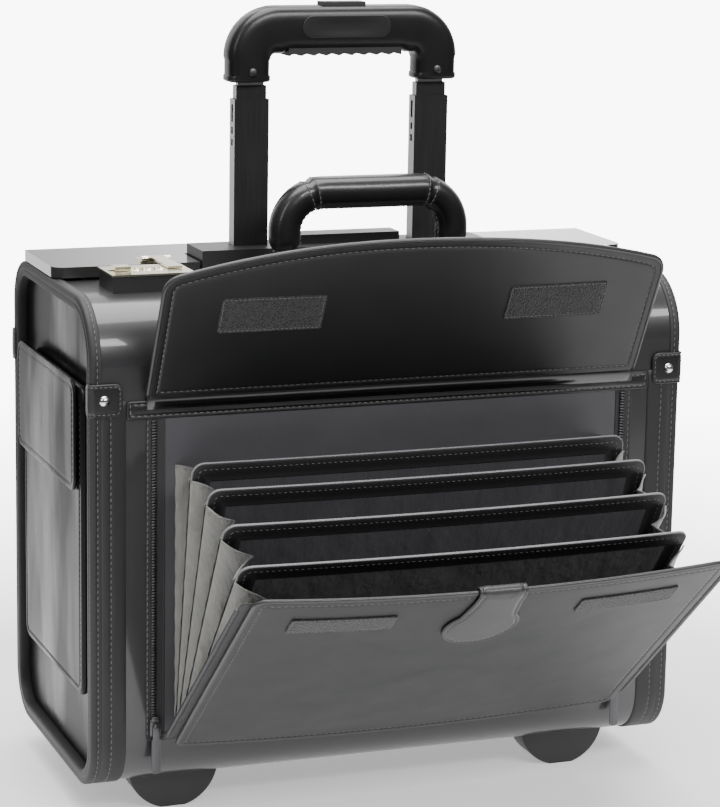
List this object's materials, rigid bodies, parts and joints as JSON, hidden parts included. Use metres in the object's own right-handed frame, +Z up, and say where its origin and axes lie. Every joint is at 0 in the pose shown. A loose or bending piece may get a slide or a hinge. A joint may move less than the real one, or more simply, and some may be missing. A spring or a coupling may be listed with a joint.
{
  "type": "rolling pilot case",
  "caption": "Upright black leather-look flight case on wheels with a telescopic trolley, carry handle, combination locks and an open fan-fold document organizer.",
  "frame": {"origin": "on the floor under the middle of the case's outline as it stands with its front organizer open", "axes": "+Z up, +X along the case's width towards the end without a side pocket, the front with the organizer faces -Y"},
  "size_m": [0.4648, 0.4336, 0.5866],
  "materials": {
    "leather_black": "glossy smooth black",
    "leather_trim": "black, edge stitched",
    "leather_soft": "soft black with a bound edge",
    "nickel": "polished dome",
    "bar_metal": "plain",
    "lining_cloth": "dark woven",
    "moulding_black": "fine moulded grain",
    "tyre": "matt",
    "hub_plastic": "moulded",
    "hinge_strip": "satin black",
    "lock_metal": "polished, pale",
    "handle_metal": "dark satin, leather faced",
    "tube_black": "black anodised",
    "grip_black": "satin",
    "grip_rubber": "ribbed",
    "zip_tape": "woven tape",
    "hook_tape": "hook pile",
    "zip_metal": "gun metal",
    "dial_metal": "knurled",
    "gusset_cloth": "thin coated cloth"
  },
  "bodies": {
    "case": {"end_panel_left": "leather_black", "end_panel_right": "leather_black", "front_shell": "leather_black", "rear_shell": "leather_black", "binding_left": "leather_trim", "binding_right": "leather_trim", "corner_tabs": "leather_trim", "rivets": "nickel", "frame_bar": "bar_metal", "lining": "lining_cloth", "feet": "moulding_black", "wheel_housings": "moulding_black", "lid_hinge": "hinge_strip", "lock_blocks": "moulding_black", "lock_plates": "lock_metal", "handle_mounts": "handle_metal", "bezel": "moulding_black", "trolley_frame": "bar_metal", "pocket_trim": "zip_tape", "side_pocket": "leather_black"},
    "lid": {"lid_panel": "leather_black", "lid_lining": "lining_cloth", "hasp_bases": "lock_metal"},
    "hasp_l": {"hasp_left": "lock_metal"},
    "hasp_r": {"hasp_right": "lock_metal"},
    "wheel_l": {"wheel_tyre_left": "tyre", "wheel_hub_left": "hub_plastic"},
    "wheel_r": {"wheel_tyre_right": "tyre", "wheel_hub_right": "hub_plastic"},
    "button_l": {"lock_button_left": "lock_metal"},
    "button_r": {"lock_button_right": "lock_metal"},
    "handle": {"carry_handle": "leather_trim"},
    "stage_1": {"tubes_1": "tube_black"},
    "stage_2": {"tubes_2": "tube_black"},
    "stage_3": {"tubes_3": "tube_black", "grip_shell": "grip_black", "grip_pad": "grip_rubber"},
    "push": {"grip_button": "grip_rubber"},
    "flap": {"organizer_flap": "leather_black"},
    "zip_l": {"zip_slider_left": "zip_metal"},
    "zip_r": {"zip_slider_right": "zip_metal"},
    "pocket_flap": {"side_flap": "leather_black"},
    "panel": {"organizer_panel": "leather_black", "hook_strips": "hook_tape", "pull_tab": "leather_trim", "pleats_5": "gusset_cloth"},
    "sheet_1": {"divider_1": "leather_soft", "pleats_1": "gusset_cloth"},
    "sheet_2": {"divider_2": "leather_soft", "pleats_2": "gusset_cloth"},
    "sheet_3": {"divider_3": "leather_soft", "pleats_3": "gusset_cloth"},
    "sheet_4": {"divider_4": "leather_soft", "pleats_4": "gusset_cloth"},
    "dial_l1": {"dial_left_1": "dial_metal"},
    "dial_l2": {"dial_left_2": "dial_metal"},
    "dial_l3": {"dial_left_3": "dial_metal"},
    "dial_r1": {"dial_right_1": "dial_metal"},
    "dial_r2": {"dial_right_2": "dial_metal"},
    "dial_r3": {"dial_right_3": "dial_metal"}
  },
  "joints": [
    {"name": "lid_hinge", "type": "hinge", "parent": "case", "child": "lid", "pos_m": [0.00095, 0.18164, 0.3906], "axis": [1, 0, 0], "range_deg": [-105, 0]},
    {"name": "hasp_l_hinge", "type": "hinge", "parent": "lid", "child": "hasp_l", "pos_m": [-0.14905, 0.09664, 0.4002], "axis": [1, 0, 0], "range_deg": [-110, 0]},
    {"name": "wheel_l_spin", "type": "hinge", "parent": "case", "child": "wheel_l", "pos_m": [-0.15705, 0.17564, 0.028], "axis": [1, 0, 0], "continuous": true},
    {"name": "button_l_slide", "type": "slide", "parent": "case", "child": "button_l", "axis": [-1, 0, 0], "range_m": [0, 0.005], "stiffness_N_per_m": 150, "springref_m": -0.003},
    {"name": "dial_l1_spin", "type": "hinge", "parent": "case", "child": "dial_l1", "pos_m": [-0.17905, 0.04864, 0.3965], "axis": [1, 0, 0], "continuous": true},
    {"name": "dial_l2_spin", "type": "hinge", "parent": "case", "child": "dial_l2", "pos_m": [-0.17005, 0.04864, 0.3965], "axis": [1, 0, 0], "continuous": true},
    {"name": "dial_l3_spin", "type": "hinge", "parent": "case", "child": "dial_l3", "pos_m": [-0.16105, 0.04864, 0.3965], "axis": [1, 0, 0], "continuous": true},
    {"name": "hasp_r_hinge", "type": "hinge", "parent": "lid", "child": "hasp_r", "pos_m": [0.15095, 0.09664, 0.4002], "axis": [1, 0, 0], "range_deg": [-110, 0]},
    {"name": "wheel_r_spin", "type": "hinge", "parent": "case", "child": "wheel_r", "pos_m": [0.15895, 0.17564, 0.028], "axis": [1, 0, 0], "continuous": true},
    {"name": "button_r_slide", "type": "slide", "parent": "case", "child": "button_r", "axis": [1, 0, 0], "range_m": [0, 0.005], "stiffness_N_per_m": 150, "springref_m": -0.003},
    {"name": "dial_r1_spin", "type": "hinge", "parent": "case", "child": "dial_r1", "pos_m": [0.16295, 0.04864, 0.3965], "axis": [1, 0, 0], "continuous": true},
    {"name": "dial_r2_spin", "type": "hinge", "parent": "case", "child": "dial_r2", "pos_m": [0.17195, 0.04864, 0.3965], "axis": [1, 0, 0], "continuous": true},
    {"name": "dial_r3_spin", "type": "hinge", "parent": "case", "child": "dial_r3", "pos_m": [0.18095, 0.04864, 0.3965], "axis": [1, 0, 0], "continuous": true},
    {"name": "handle_fold", "type": "hinge", "parent": "case", "child": "handle", "pos_m": [0.00095, 0.04864, 0.4], "axis": [1, 0, 0], "range_deg": [0, 70]},
    {"name": "trolley_1", "type": "slide", "parent": "case", "child": "stage_1", "axis": [0, 0, 1], "range_m": [-0.1096, 0.11]},
    {"name": "trolley_2", "type": "slide", "parent": "stage_1", "child": "stage_2", "axis": [0, 0, 1], "range_m": [-0.0096, 0.19]},
    {"name": "trolley_3", "type": "slide", "parent": "stage_2", "child": "stage_3", "axis": [0, 0, 1], "range_m": [-0.0026, 0.18]},
    {"name": "grip_push", "type": "slide", "parent": "stage_3", "child": "push", "axis": [0, 0, -1], "range_m": [0, 0.003], "stiffness_N_per_m": 500, "springref_m": -0.003},
    {"name": "pocket_1", "type": "hinge", "parent": "case", "child": "sheet_1", "pos_m": [0.00095, -0.01656, 0.073], "axis": [1, 0, 0], "range_deg": [-9.8, 0], "deforming": ["pleats_1"]},
    {"name": "pocket_2", "type": "hinge", "parent": "sheet_1", "child": "sheet_2", "pos_m": [0.00095, -0.0207, 0.07229], "axis": [1, 0, 0], "range_deg": [-9.8, 0], "deforming": ["pleats_2"]},
    {"name": "pocket_3", "type": "hinge", "parent": "sheet_2", "child": "sheet_3", "pos_m": [0.00095, -0.02466, 0.07088], "axis": [1, 0, 0], "range_deg": [-9.8, 0], "deforming": ["pleats_3"]},
    {"name": "pocket_4", "type": "hinge", "parent": "sheet_3", "child": "sheet_4", "pos_m": [0.00095, -0.02832, 0.06881], "axis": [1, 0, 0], "range_deg": [-9.8, 0], "deforming": ["pleats_4"]},
    {"name": "pocket_5", "type": "hinge", "parent": "sheet_4", "child": "panel", "pos_m": [0.00095, -0.03157, 0.06616], "axis": [1, 0, 0], "range_deg": [-9.8, 0], "deforming": ["pleats_5"]},
    {"name": "flap_hinge", "type": "hinge", "parent": "case", "child": "flap", "pos_m": [0.00095, -0.01556, 0.318], "axis": [1, 0, 0], "range_deg": [0, 60]},
    {"name": "zip_l_slide", "type": "slide", "parent": "case", "child": "zip_l", "axis": [0, 0, 1], "range_m": [0, 0.2245]},
    {"name": "zip_r_slide", "type": "slide", "parent": "case", "child": "zip_r", "axis": [0, 0, 1], "range_m": [0, 0.2245]},
    {"name": "pocket_flap_hinge", "type": "hinge", "parent": "case", "child": "pocket_flap", "pos_m": [-0.23105, 0.09914, 0.327], "axis": [0, 1, 0], "range_deg": [0, 140]}
  ],
  "couplings": [
    {"joint": "pocket_2", "follows": "pocket_1", "ratio": 1},
    {"joint": "pocket_3", "follows": "pocket_1", "ratio": 1},
    {"joint": "pocket_4", "follows": "pocket_1", "ratio": 1},
    {"joint": "pocket_5", "follows": "pocket_1", "ratio": 1},
    {"joint": "zip_l_slide", "follows": "pocket_1", "m_per_rad": -1.3096},
    {"joint": "zip_r_slide", "follows": "pocket_1", "m_per_rad": -1.3096}
  ]
}
